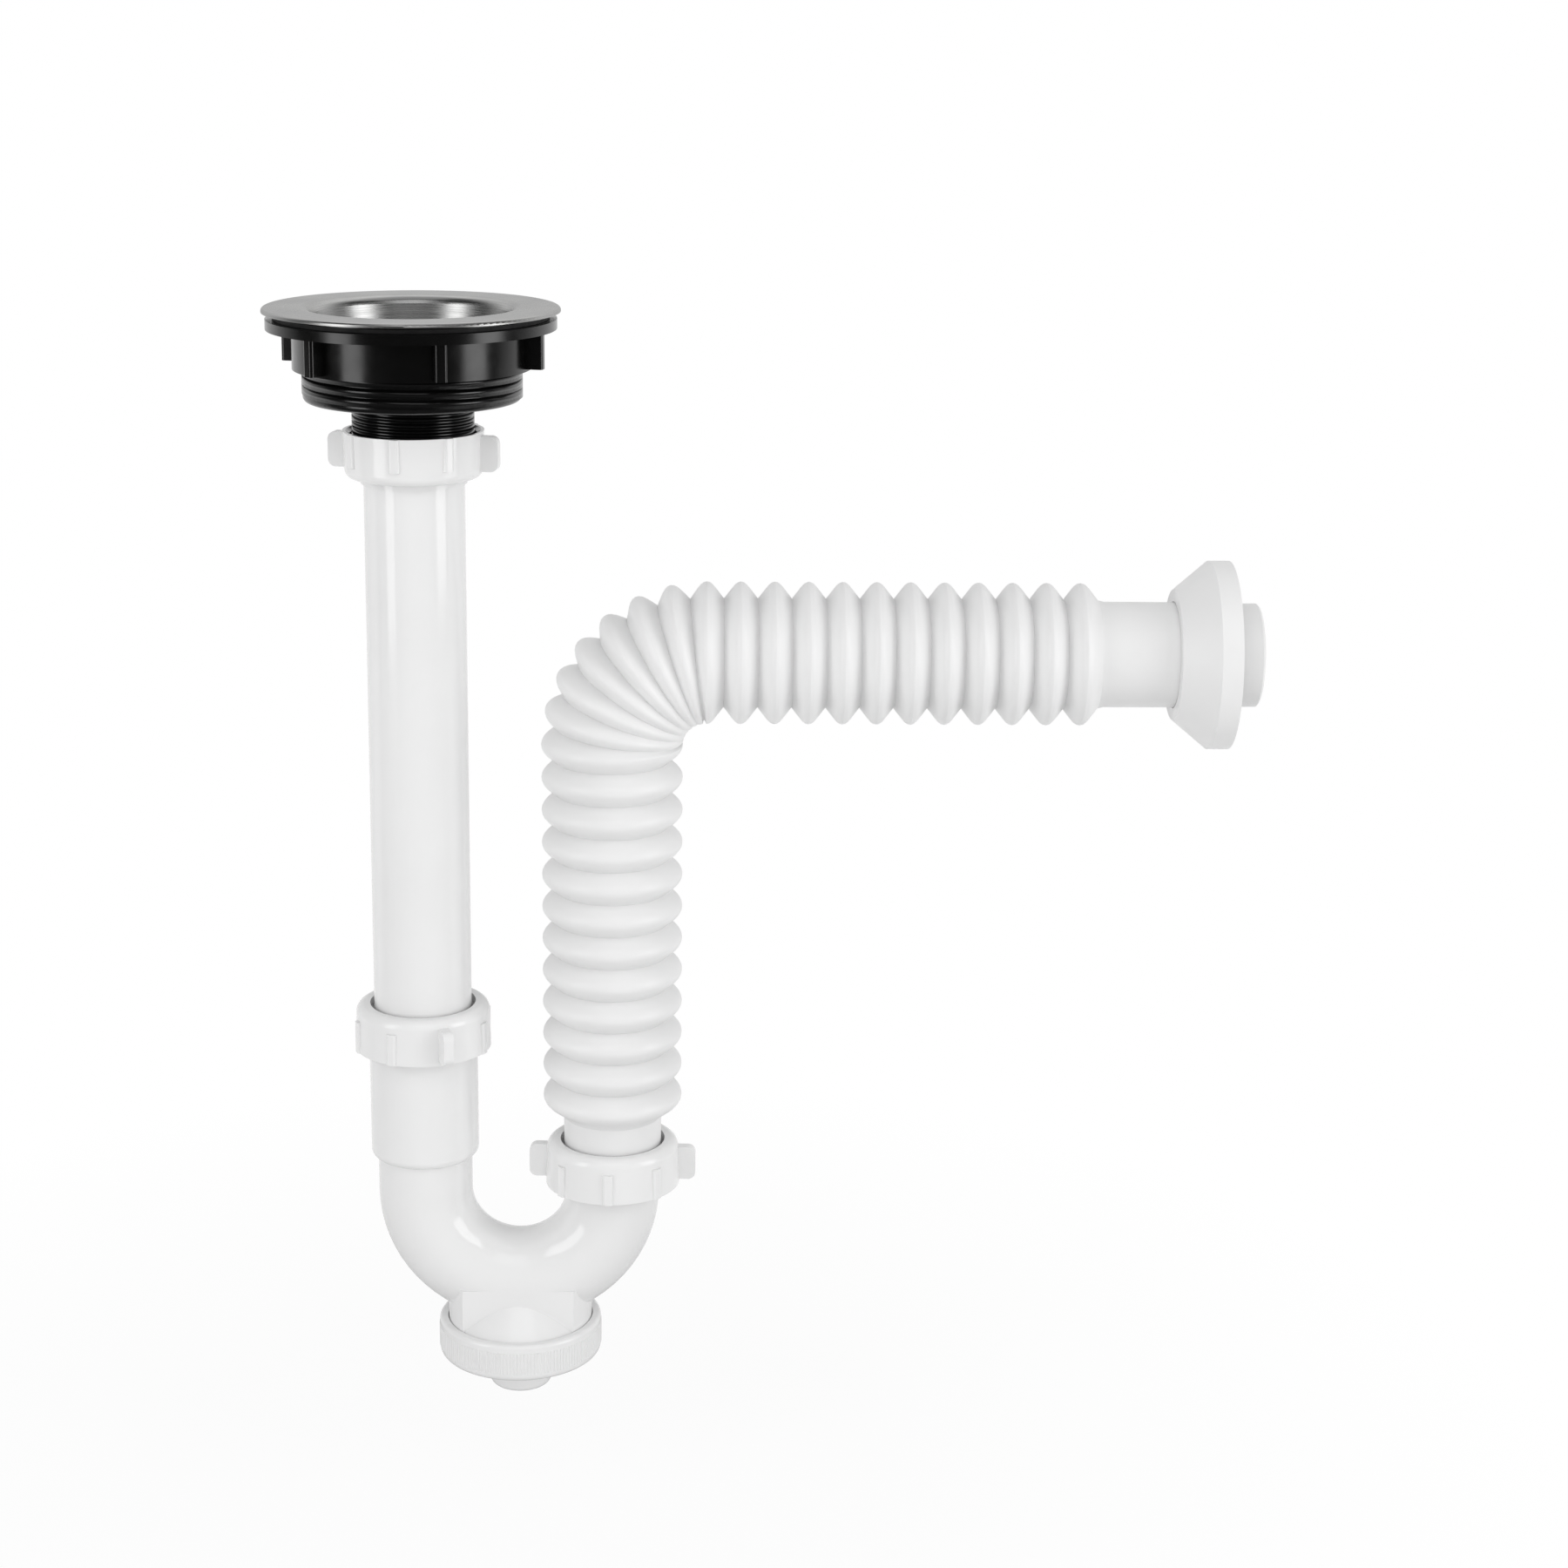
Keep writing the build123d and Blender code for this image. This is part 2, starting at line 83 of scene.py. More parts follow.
def add(tree, kind, values=None, **settings):
    """Adds a node. Each value is set on, or linked to, the input with its name or number."""
    made = tree.nodes.new(kind)
    for name, setting in settings.items():
        setattr(made, name, setting)
    for key, value in (values or {}).items():
        if isinstance(value, bpy.types.NodeSocket):
            tree.links.new(value, made.inputs[key])
        else:
            made.inputs[key].default_value = value
    return made


def calc(tree, operation, *values):
    """The result socket of one Math node."""
    return add(tree, "ShaderNodeMath", dict(enumerate(values)), operation=operation).outputs[0]


def spread(tree, value, low, high, to_low, to_high):
    """The result socket of a Map Range node, clamped at both ends."""
    ends = {"From Min": low, "From Max": high, "To Min": to_low, "To Max": to_high}
    return add(tree, "ShaderNodeMapRange", {"Value": value, **ends}).outputs["Result"]


print("helpers for node trees ready")

# %% [markdown]
# Every finish starts from the same few parts: object coordinates, a broad noise for the slight change
# of tone across a moulding, a finer one for the gloss, and a fine grain for bump. A noise seldom
# leaves the middle of its range, so that middle is spread over the whole change. Numbers that are the
# same all over are set on the shader itself.

# %% Helpers for finishes
noise_low = 0.3
noise_high = 0.7


def start_finish(name, **constants):
    """A new material, its tree, its shader with these inputs set, and object coordinates."""
    material = bpy.data.materials.new(name)
    material.use_nodes = True
    tree = material.node_tree
    shader = tree.nodes["Principled BSDF"]
    for key, value in constants.items():
        shader.inputs[key.replace("_", " ")].default_value = value
    place = add(tree, "ShaderNodeTexCoord").outputs["Object"]
    return material, tree, shader, place


def noise(tree, place, scale, detail=3.0):
    """A noise value between 0 and 1, with scale in waves for each metre."""
    values = {"Vector": place, "Scale": scale, "Detail": detail}
    return add(tree, "ShaderNodeTexNoise", values).outputs["Fac"]


def tint(tree, shader, value, dark, light):
    """Takes the shader's colour from dark to light as a noise rises."""
    ramp = add(tree, "ShaderNodeValToRGB", {"Fac": value})
    stops = ((noise_low, dark), (noise_high, light))
    for element, (position, colour) in zip(ramp.color_ramp.elements, stops):
        element.position = position
        element.color = (*colour, 1)
    tree.links.new(ramp.outputs["Color"], shader.inputs["Base Color"])


def gloss(tree, shader, value, smooth, rough):
    """Takes the shader's roughness from smooth to rough as a noise rises."""
    roughness = spread(tree, value, noise_low, noise_high, smooth, rough)
    tree.links.new(roughness, shader.inputs["Roughness"])


def grain(tree, shader, height, strength, depth):
    """Gives the shader a bump of this depth."""
    values = {"Height": height, "Strength": strength, "Distance": depth}
    bump = add(tree, "ShaderNodeBump", values)
    tree.links.new(bump.outputs["Normal"], shader.inputs["Normal"])


print("helpers for finishes ready")

# %% [markdown]
# The white mouldings are glossy, and the blown pipe and its rosette are duller. The strainer's black
# plastic has a satin gloss, in which the light panels show as soft bands. The rim is sheet steel that
# was polished on a lathe, so the noise for its scratches reads the height and the distance from the
# strainer's axis instead of the place itself. The gaskets and seals are matt rubber.

# %% Finishes


def moulded_plastic(name, dark, light, smooth, rough, **constants):
    """A moulded plastic with a slight change of tone and gloss, and a fine grain."""
    material, tree, shader, place = start_finish(name, **constants)
    tint(tree, shader, noise(tree, place, scale=22), dark, light)
    gloss(tree, shader, noise(tree, place, scale=140), smooth, rough)
    grain(tree, shader, noise(tree, place, scale=1800, detail=2.0), strength=0.05, depth=0.05 * MM)
    return material


def brushed_steel(name, dark, light, smooth, rough, **constants):
    """Sheet steel with fine rings about the strainer's axis."""
    material, tree, shader, place = start_finish(name, Metallic=1.0, **constants)
    parts = add(tree, "ShaderNodeSeparateXYZ", {0: place}).outputs
    across = add(tree, "ShaderNodeCombineXYZ", {"X": parts[0], "Y": parts[1]}).outputs[0]
    radius = add(tree, "ShaderNodeVectorMath", {0: across}, operation="LENGTH").outputs["Value"]
    rings = add(tree, "ShaderNodeCombineXYZ", {"X": radius, "Y": parts[2]}).outputs[0]
    scratches = noise(tree, rings, scale=2600, detail=4.0)
    tint(tree, shader, noise(tree, place, scale=60), dark, light)
    gloss(tree, shader, scratches, smooth, rough)
    grain(tree, shader, scratches, strength=0.08, depth=0.1 * MM)
    return material


def rubber(name, dark, light, smooth, rough):
    """Moulded rubber with a faint bloom and a coarse grain."""
    material, tree, shader, place = start_finish(name)
    tint(tree, shader, noise(tree, place, scale=90, detail=5.0), dark, light)
    gloss(tree, shader, noise(tree, place, scale=300), smooth, rough)
    grain(tree, shader, noise(tree, place, scale=1400), strength=0.2, depth=0.2 * MM)
    return material


white_plastic = moulded_plastic(
    "white_plastic", dark=(0.80, 0.80, 0.80), light=(0.82, 0.82, 0.82), smooth=0.09, rough=0.13
)
blown_plastic = moulded_plastic(
    "blown_plastic", dark=(0.79, 0.79, 0.79), light=(0.82, 0.82, 0.82), smooth=0.32, rough=0.42
)
black_plastic = moulded_plastic(
    "black_plastic",
    dark=(0.0015, 0.0015, 0.0015),
    light=(0.003, 0.003, 0.003),
    smooth=0.18,
    rough=0.25,
    Specular_IOR_Level=0.6,
)
steel = brushed_steel(
    "steel",
    dark=(0.48, 0.48, 0.48),
    light=(0.55, 0.55, 0.54),
    smooth=0.22,
    rough=0.36,
    Anisotropic=0.5,
    Specular_Tint=(0.6, 0.6, 0.6, 1),
)
gasket_rubber = rubber(
    "gasket_rubber", dark=(0.010, 0.010, 0.010), light=(0.022, 0.022, 0.022), smooth=0.6, rough=0.8
)
seal_rubber = rubber(
    "seal_rubber", dark=(0.42, 0.42, 0.42), light=(0.50, 0.50, 0.50), smooth=0.6, rough=0.8
)
finishes = {
    "white_plastic": white_plastic,
    "black_plastic": black_plastic,
    "steel": steel,
    "gasket_rubber": gasket_rubber,
    "seal_rubber": seal_rubber,
}
print("finishes:", ", ".join(finishes))

# %% [markdown]
# The record names a material slot for each piece, and the slot picks the finish. The rosette shares the
# white slot with the mouldings, but it is as dull as the pipe.

# %% Finishes on the pieces
for row in frame["record"]["subparts"]:
    piece = nodes[row["node"]]
    piece.data.materials.clear()
    piece.data.materials.append(finishes[row["material_slot"]])
nodes["wall_rosette"].data.materials[0] = blown_plastic

# %% [markdown]
# Threads, ribs and folds all repeat, so Geometry Nodes make them. Each tree has named inputs for its
# sizes. A new object carries the tree just long enough to be evaluated, and the result is kept as a
# plain mesh.

# %% Helpers for grown pieces


def new_tree(name, sizes):
    """A Geometry Nodes tree with a named input for each size, and the sockets of its inputs."""
    tree = bpy.data.node_groups.new(name, "GeometryNodeTree")
    tree.interface.new_socket("Geometry", in_out="INPUT", socket_type="NodeSocketGeometry")
    for size, kind in sizes.items():
        tree.interface.new_socket(size, in_out="INPUT", socket_type="NodeSocket" + kind)
    tree.interface.new_socket("Geometry", in_out="OUTPUT", socket_type="NodeSocketGeometry")
    return tree, tree.nodes.new("NodeGroupInput").outputs


def close_tree(tree, geometry, material):
    """Ends a tree with Realize Instances and Set Material."""
    real = add(tree, "GeometryNodeRealizeInstances", {0: geometry}).outputs[0]
    painted = add(tree, "GeometryNodeSetMaterial", {"Geometry": real, "Material": material}).outputs[0]
    add(tree, "NodeGroupOutput", {0: painted})
    print(tree.name, "has", len(tree.nodes), "nodes")


def grow(name, tree, sizes, body, start=None):
    """Evaluates a tree with these sizes and keeps the result as a plain mesh that rides on a body."""
    piece = bpy.data.objects.new(name, start or bpy.data.meshes.new(name))
    bpy.context.scene.collection.objects.link(piece)
    modifier = piece.modifiers.new(name, "NODES")
    modifier.node_group = tree
    for item in tree.interface.items_tree:
        if item.in_out == "INPUT" and item.name in sizes:
            modifier[item.identifier] = sizes[item.name]
    depsgraph = bpy.context.evaluated_depsgraph_get()
    mesh = bpy.data.meshes.new_from_object(piece.evaluated_get(depsgraph), depsgraph=depsgraph)
    piece.modifiers.clear()
    piece.data = mesh
    mesh.name = name
    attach(piece, body)
    print(name, "has", len(mesh.polygons), "faces")
    return piece


print("helpers for grown pieces ready")

# %% [markdown]
# A moulded pipe thread is a low ridge that climbs round a cylinder. A spiral curve carries a small
# trapezium, and its scale falls to nothing at both ends, as a real thread runs out. A share of the
# ridge's height is sunk in the cylinder, so that no gap shows. Foot and crest are shares of the pitch:
# broad ridges on the strainer's cup, finer ones on the pipe ends.

# %% Tree of a screw thread
thread_tree, given = new_tree(
    "screw_thread",
    {
        "Root radius": "Float",
        "Ridge height": "Float",
        "Pitch": "Float",
        "Turns": "Float",
        "Foot": "Float",
        "Crest": "Float",
        "Place": "Vector",
        "Material": "Material",
    },
)
steps_in_turn = 96
run_out = 0.02
ridge_sink = 0.25
spiral = add(
    thread_tree,
    "GeometryNodeCurveSpiral",
    {
        "Resolution": steps_in_turn,
        "Rotations": given["Turns"],
        "Start Radius": given["Root radius"],
        "End Radius": given["Root radius"],
        "Height": calc(thread_tree, "MULTIPLY", given["Pitch"], given["Turns"]),
    },
).outputs[0]
upright = add(thread_tree, "GeometryNodeSetCurveNormal", {"Curve": spiral}, mode="Z_UP").outputs[0]
ridge = add(
    thread_tree,
    "GeometryNodeCurvePrimitiveQuadrilateral",
    {
        "Height": given["Ridge height"],
        "Bottom Width": calc(thread_tree, "MULTIPLY", given["Pitch"], given["Foot"]),
        "Top Width": calc(thread_tree, "MULTIPLY", given["Pitch"], given["Crest"]),
        "Offset": 0.0,
    },
    mode="TRAPEZOID",
).outputs[0]
middle = calc(thread_tree, "MULTIPLY", given["Ridge height"], 0.5 - ridge_sink)
outward = add(thread_tree, "ShaderNodeCombineXYZ", {"X": middle}).outputs[0]
crest_out = {"Geometry": ridge, "Rotation": (0, 0, -pi / 2), "Translation": outward}
profile = add(thread_tree, "GeometryNodeTransform", crest_out).outputs[0]
along = add(thread_tree, "GeometryNodeSplineParameter").outputs["Factor"]
rising = spread(thread_tree, along, 0.0, run_out, 0.0, 1.0)
falling = spread(thread_tree, along, 1.0 - run_out, 1.0, 1.0, 0.0)
scale = calc(thread_tree, "MINIMUM", rising, falling)
sweep = {"Curve": upright, "Profile Curve": profile, "Scale": scale}
swept = add(thread_tree, "GeometryNodeCurveToMesh", sweep).outputs[0]
start_left = {"Geometry": swept, "Rotation": (0, 0, pi), "Translation": given["Place"]}
placed = add(thread_tree, "GeometryNodeTransform", start_left).outputs[0]
close_tree(thread_tree, placed, given["Material"])

# %% [markdown]
# Five threads grow from that tree: on the strainer's cup and tail, on the socket and the outlet of the
# U-bend, and on its clean-out stub. Their places come from the boxes and joints of the frame, so that
# each one sits on its solid.

# %% Screw threads
tail_length = 21.0 * MM
collar_height = 7.3 * MM
seal_lip = 1.7 * MM
cup_lead = 1.2 * MM
end_lead = 1.0 * MM
pipe_pitch = 2.309 * MM
tail_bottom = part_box("strainer_body")[0].z
cup_bottom = tail_bottom + tail_length
bend_low, bend_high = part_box("u_bend")
outlet_x = joint_places["outlet_nut_turn"].x
outlet_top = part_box("outlet_seal")[0].z + seal_lip
socket_start = bend_high.z - collar_height
outlet_start = outlet_top - collar_height
cleanout_x = joint_places["cap_turn"].x
cup_ridges = {
    "Root radius": 41.2 * MM,
    "Ridge height": 1.2 * MM,
    "Pitch": 3.7 * MM,
    "Turns": 6.4,
    "Foot": 0.92,
    "Crest": 0.5,
}
tail_ridges = {
    "Root radius": 22.9 * MM,
    "Ridge height": 1.0 * MM,
    "Pitch": pipe_pitch,
    "Turns": 8.4,
    "Foot": 0.8,
    "Crest": 0.2,
}
collar_ridges = {
    "Root radius": 23.6 * MM,
    "Ridge height": 0.55 * MM,
    "Pitch": pipe_pitch,
    "Turns": 2.7,
    "Foot": 0.8,
    "Crest": 0.2,
}
stub_ridges = {
    "Root radius": 28.6 * MM,
    "Ridge height": 0.6 * MM,
    "Pitch": 3.0 * MM,
    "Turns": 2.2,
    "Foot": 0.8,
    "Crest": 0.3,
}


def screw_thread(name, body, slot, x, bottom, ridges):
    """Grows one thread about an upright axis at x, from its lowest turn up."""
    sizes = {**ridges, "Place": (x, 0, bottom), "Material": finishes[slot]}
    grow(name, thread_tree, sizes, body)


screw_thread("cup_thread", "strainer", "black_plastic", 0, cup_bottom + cup_lead, cup_ridges)
screw_thread("tail_thread", "strainer", "black_plastic", 0, tail_bottom + end_lead, tail_ridges)
screw_thread("socket_thread", "u_bend", "white_plastic", 0, socket_start, collar_ridges)
screw_thread("outlet_thread", "u_bend", "white_plastic", outlet_x, outlet_start, collar_ridges)
screw_thread("cleanout_thread", "u_bend", "white_plastic", cleanout_x, bend_low.z + end_lead, stub_ridges)

# %% [markdown]
# The clean-out cap is gripped by its skirt, which has fine upright ribs below a smooth top edge. One rib
# is a slim rounded bar that is partly sunk in the skirt, and it is repeated round a circle.

# %% Grip ribs on the clean-out cap
rib_tree, given = new_tree(
    "grip_ribs",
    {
        "Ring radius": "Float",
        "Ribs": "Int",
        "Rib radius": "Float",
        "Rib height": "Float",
        "Place": "Vector",
        "Material": "Material",
    },
)
bar_sides = 8
ring_sizes = {"Vertices": given["Ribs"], "Radius": given["Ring radius"]}
ring = add(rib_tree, "GeometryNodeMeshCircle", ring_sizes).outputs[0]
bar_sizes = {"Vertices": bar_sides, "Radius": given["Rib radius"], "Depth": given["Rib height"]}
bar = add(rib_tree, "GeometryNodeMeshCylinder", bar_sizes).outputs[0]
ribs = add(rib_tree, "GeometryNodeInstanceOnPoints", {"Points": ring, "Instance": bar}).outputs[0]
move = {"Geometry": ribs, "Translation": given["Place"]}
placed = add(rib_tree, "GeometryNodeTransform", move).outputs[0]
close_tree(rib_tree, placed, given["Material"])

cap_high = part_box("cleanout_cap")[1]
cap_radius = cap_high.y
rib_count = 150
rib_radius = 0.45 * MM
rib_height = 9.0 * MM
rib_sink = 0.2 * MM
smooth_edge = 3.2 * MM
grow(
    "cap_grip_ribs",
    rib_tree,
    {
        "Ring radius": cap_radius - rib_sink,
        "Ribs": rib_count,
        "Rib radius": rib_radius,
        "Rib height": rib_height,
        "Place": (cleanout_x, 0, cap_high.z - smooth_edge - rib_height / 2),
        "Material": white_plastic,
    },
    "cleanout_cap",
)

# %% [markdown]
# The corrugated pipe is blown in one piece: a plain cuff, thirty folds, and a plain spigot. Its folds
# have sharp valleys and soft crests, and those of the riser are rounder and shallower than those of the
# run. A flat grid is wrapped round the pipe's line: one side of the grid counts the folds, and the other
# goes round.

# %% Grid of the folds
fold_inputs = {
    "Riser folds": "Float",
    "Bend folds": "Float",
    "Run folds": "Float",
    "Pitch": "Float",
    "Bend radius": "Float",
    "Root radius": "Float",
    "Crest radius": "Float",
    "Wall": "Float",
    "Riser rounding": "Float",
    "Run rounding": "Float",
    "Riser depth": "Float",
    "Inner fill": "Float",
    "Steps in a fold": "Int",
    "Steps round": "Int",
    "Start": "Vector",
    "Material": "Material",
}
fold_tree, given = new_tree("pipe_folds", fold_inputs)


def on_tree(operation, *values):
    """The result socket of one Math node on the tree of the folds."""
    return calc(fold_tree, operation, *values)


bend_ends = on_tree("ADD", given["Riser folds"], given["Bend folds"])
fold_total = on_tree("ADD", bend_ends, given["Run folds"])
rows = on_tree("ADD", on_tree("MULTIPLY", fold_total, given["Steps in a fold"]), 1)
columns = on_tree("ADD", given["Steps round"], 1)
grid_sizes = {"Size X": 1.0, "Size Y": 1.0, "Vertices X": rows, "Vertices Y": columns}
grid = add(fold_tree, "GeometryNodeMeshGrid", grid_sizes).outputs[0]
grid_place = add(fold_tree, "GeometryNodeInputPosition").outputs[0]
grid_parts = add(fold_tree, "ShaderNodeSeparateXYZ", {0: grid_place}).outputs
count = on_tree("MULTIPLY", on_tree("ADD", grid_parts[0], 0.5), fold_total)
round_angle = on_tree("MULTIPLY", on_tree("ADD", grid_parts[1], 0.5), 2 * pi)
round_cos = on_tree("COSINE", round_angle)
round_sin = on_tree("SINE", round_angle)
print("inputs of the folds:", len(fold_inputs))

# %% [markdown]
# The pipe's line is a riser, a quarter bend and a run in one plane. Both the place and the direction of
# each ring therefore follow from the count of folds by plain sums.

# %% Line of the pipe
riser_length = on_tree("MULTIPLY", given["Riser folds"], given["Pitch"])
run_length = on_tree("MULTIPLY", given["Run folds"], given["Pitch"])
rise = spread(fold_tree, count, 0.0, given["Riser folds"], 0.0, riser_length)
turn = spread(fold_tree, count, given["Riser folds"], bend_ends, 0.0, pi / 2)
run = spread(fold_tree, count, bend_ends, fold_total, 0.0, run_length)
turn_cos = on_tree("COSINE", turn)
turn_sin = on_tree("SINE", turn)
bend_x = on_tree("MULTIPLY", given["Bend radius"], on_tree("SUBTRACT", 1.0, turn_cos))
bend_z = on_tree("MULTIPLY", given["Bend radius"], turn_sin)
print("line of the pipe ready")

# %% [markdown]
# Across one fold the wall climbs from a valley to a crest and back, which is a zigzag of the count. A
# parabola rounds its crest. On the inside of the bend the crests crowd together and all but close the
# valleys, so there the valleys are filled.

# %% Profile of a fold
half_fold = 0.5
fill_onset = 4.0
inner_full = -0.9
inner_none = 0.5
flank = on_tree("DIVIDE", on_tree("PINGPONG", count, half_fold), half_fold)
roundings = (given["Riser rounding"], given["Run rounding"])
rounding = spread(fold_tree, count, given["Riser folds"], bend_ends, *roundings)
over = on_tree("MAXIMUM", on_tree("SUBTRACT", flank, on_tree("SUBTRACT", 1.0, rounding)), 0.0)
cut_off = on_tree("DIVIDE", on_tree("POWER", over, 2.0), on_tree("MULTIPLY", rounding, 2.0))
crest_height = on_tree("SUBTRACT", 1.0, on_tree("DIVIDE", rounding, 2.0))
lift = on_tree("DIVIDE", on_tree("SUBTRACT", flank, cut_off), crest_height)
bend_wave = on_tree("SINE", on_tree("MULTIPLY", turn, 2.0))
in_bend = on_tree("MINIMUM", on_tree("MULTIPLY", bend_wave, fill_onset), 1.0)
inner_side = spread(fold_tree, round_cos, inner_full, inner_none, 1.0, 0.0)
fill = on_tree("MULTIPLY", on_tree("MULTIPLY", in_bend, inner_side), given["Inner fill"])
from_cuff = spread(fold_tree, count, 0.0, half_fold, 1.0, given["Riser depth"])
to_run = spread(fold_tree, count, given["Riser folds"], bend_ends, given["Riser depth"], 1.0)
most_depth = on_tree("MAXIMUM", from_cuff, to_run)
valley_depth = on_tree("MULTIPLY", most_depth, on_tree("SUBTRACT", 1.0, fill))
depth = on_tree("MULTIPLY", on_tree("SUBTRACT", 1.0, lift), valley_depth)
fold_radius = spread(fold_tree, depth, 0.0, 1.0, given["Crest radius"], given["Root radius"])
print("profile of a fold ready")

# %% [markdown]
# The grid is wrapped twice, as the outside and the inside of the wall. The mesh that the tree starts
# from holds the plain ends, and all three are welded. Edges sharper than the corner angle stay crisp,
# and the rest is shaded smooth.

# %% Wall of the pipe
weld_distance = 0.01 * MM
corner_angle = radians(25)


def skin(radius):
    """The grid wrapped round the pipe's line at this radius."""
    toward = on_tree("MULTIPLY", radius, round_cos)
    aside = on_tree("MULTIPLY", radius, round_sin)
    x = on_tree("SUBTRACT", on_tree("ADD", bend_x, run), on_tree("MULTIPLY", toward, turn_cos))
    z = on_tree("ADD", on_tree("ADD", bend_z, rise), on_tree("MULTIPLY", toward, turn_sin))
    place = add(fold_tree, "ShaderNodeCombineXYZ", {"X": x, "Y": aside, "Z": z}).outputs[0]
    terms = {0: place, 1: given["Start"]}
    shifted = add(fold_tree, "ShaderNodeVectorMath", terms, operation="ADD").outputs[0]
    return add(fold_tree, "GeometryNodeSetPosition", {"Geometry": grid, "Position": shifted}).outputs[0]


outside = add(fold_tree, "GeometryNodeFlipFaces", {0: skin(fold_radius)}).outputs[0]
inside = skin(on_tree("SUBTRACT", fold_radius, given["Wall"]))
joined = add(fold_tree, "GeometryNodeJoinGeometry")
for shape in (outside, inside, given["Geometry"]):
    fold_tree.links.new(shape, joined.inputs[0])
weld = {"Geometry": joined.outputs[0], "Distance": weld_distance}
welded = add(fold_tree, "GeometryNodeMergeByDistance", weld).outputs[0]
smooth = add(fold_tree, "GeometryNodeSetShadeSmooth", {"Geometry": welded}, domain="FACE").outputs[0]
edge_angle = add(fold_tree, "GeometryNodeInputMeshEdgeAngle").outputs["Unsigned Angle"]
compared = {0: edge_angle, 1: corner_angle}
is_corner = add(fold_tree, "FunctionNodeCompare", compared, operation="GREATER_THAN").outputs[0]
crease = {"Geometry": smooth, "Selection": is_corner, "Shade Smooth": False}
creased = add(fold_tree, "GeometryNodeSetShadeSmooth", crease, domain="EDGE").outputs[0]
close_tree(fold_tree, creased, given["Material"])

# %% [markdown]
# The cuff and the spigot are turned shapes: a few points of the wall's outline, spun about the pipe's
# axis. The cuff sits in the outlet of the U-bend, and the spigot's narrower tip goes into the wall.

# %% Plain ends of the pipe
pipe_low, pipe_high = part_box("flexible_pipe")
crest_radius = pipe_high.y
run_level = pipe_high.z - crest_radius
riser_x = joint_places["pipe_swivel"].x
pitch = 13.1 * MM
bend_radius = 36.5 * MM
riser_folds = 11.5
bend_folds = 7.0
run_folds = 11.5
root_radius = 21.0 * MM
pipe_wall = 1.5 * MM
steps_round = 96
fold_start = run_level - bend_radius - riser_folds * pitch
fold_end = riser_x + bend_radius + run_folds * pitch
cuff_radius = 19.4 * MM
cuff_step = 2.0 * MM
spigot_radius = 20.35 * MM
spigot_step = 2.5 * MM
tip_radius = 20.0 * MM
tip_length = 11.3 * MM
tip_chamfer = 0.8 * MM
tip_start = pipe_high.x - tip_length


def spin_wall(bm, outline, move):
    """Spins an open outline of (radius, height) points about Z and moves it into place."""
    angles = [2 * pi * step / steps_round for step in range(steps_round)]
    rings = []
    for radius, height in outline:
        points = [Vector((radius * cos(angle), radius * sin(angle), height)) for angle in angles]
        rings.append([bm.verts.new(move @ point) for point in points])
    for lower, upper in zip(rings, rings[1:]):
        for step in range(steps_round):
            after = (step + 1) % steps_round
            bm.faces.new((lower[step], lower[after], upper[after], upper[step]))


cuff_outline = [
    (root_radius - pipe_wall, fold_start),
    (cuff_radius - pipe_wall, fold_start - cuff_step),
    (cuff_radius - pipe_wall, pipe_low.z),
    (cuff_radius, pipe_low.z),
    (cuff_radius, fold_start - cuff_step),
    (root_radius, fold_start),
]
spigot_outline = [
    (root_radius, fold_end),
    (spigot_radius, fold_end + spigot_step),
    (spigot_radius, tip_start),
    (tip_radius, tip_start),
    (tip_radius, pipe_high.x - tip_chamfer),
    (tip_radius - tip_chamfer, pipe_high.x),
    (tip_radius - pipe_wall, pipe_high.x),
    (tip_radius - pipe_wall, tip_start),
    (spigot_radius - pipe_wall, tip_start),
    (spigot_radius - pipe_wall, fold_end + spigot_step),
    (root_radius - pipe_wall, fold_end),
]
riser_axis = Matrix.Translation((riser_x, 0, 0))
run_axis = Matrix.Translation((0, 0, run_level)) @ Matrix.Rotation(pi / 2, 4, "Y")
ends = bmesh.new()
spin_wall(ends, cuff_outline, riser_axis)
spin_wall(ends, spigot_outline, run_axis)
plain_ends = bpy.data.meshes.new("pipe_ends")
ends.to_mesh(plain_ends)
ends.free()
print("plain ends have", len(plain_ends.polygons), "faces")

# %% [markdown]
# The plain ends are the start mesh of the tree, which welds them to the first and the last fold. The
# finished pipe stands for the solid of the pipe, whose folds have sharp crests.

# %% Corrugated pipe
pipe = grow(
    "corrugated_pipe",
    fold_tree,
    {
        "Riser folds": riser_folds,
        "Bend folds": bend_folds,
        "Run folds": run_folds,
        "Pitch": pitch,
        "Bend radius": bend_radius,
        "Root radius": root_radius,
        "Crest radius": crest_radius,
        "Wall": pipe_wall,
        "Riser rounding": 0.65,
        "Run rounding": 0.45,
        "Riser depth": 0.85,
        "Inner fill": 0.95,
        "Steps in a fold": 12,
        "Steps round": steps_round,
        "Start": (riser_x, 0, fold_start),
        "Material": blown_plastic,
    },
    "flexible_pipe",
    plain_ends,
)
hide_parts("flexible_pipe")

# %% [markdown]
# The photograph's look is a catalogue shot: a white ground, soft light from large panels, and hardly any
# shadow. The floor shows white to the camera and stays plain for the light that falls on the pieces. It
# takes a faint shadow close to the object and fades to pure white further out. It lies a little below
# the cap, because the trap can be let down on its tube and the cap can be unscrewed. To shiny pieces the
# floor is white behind the object and dim ahead of it.

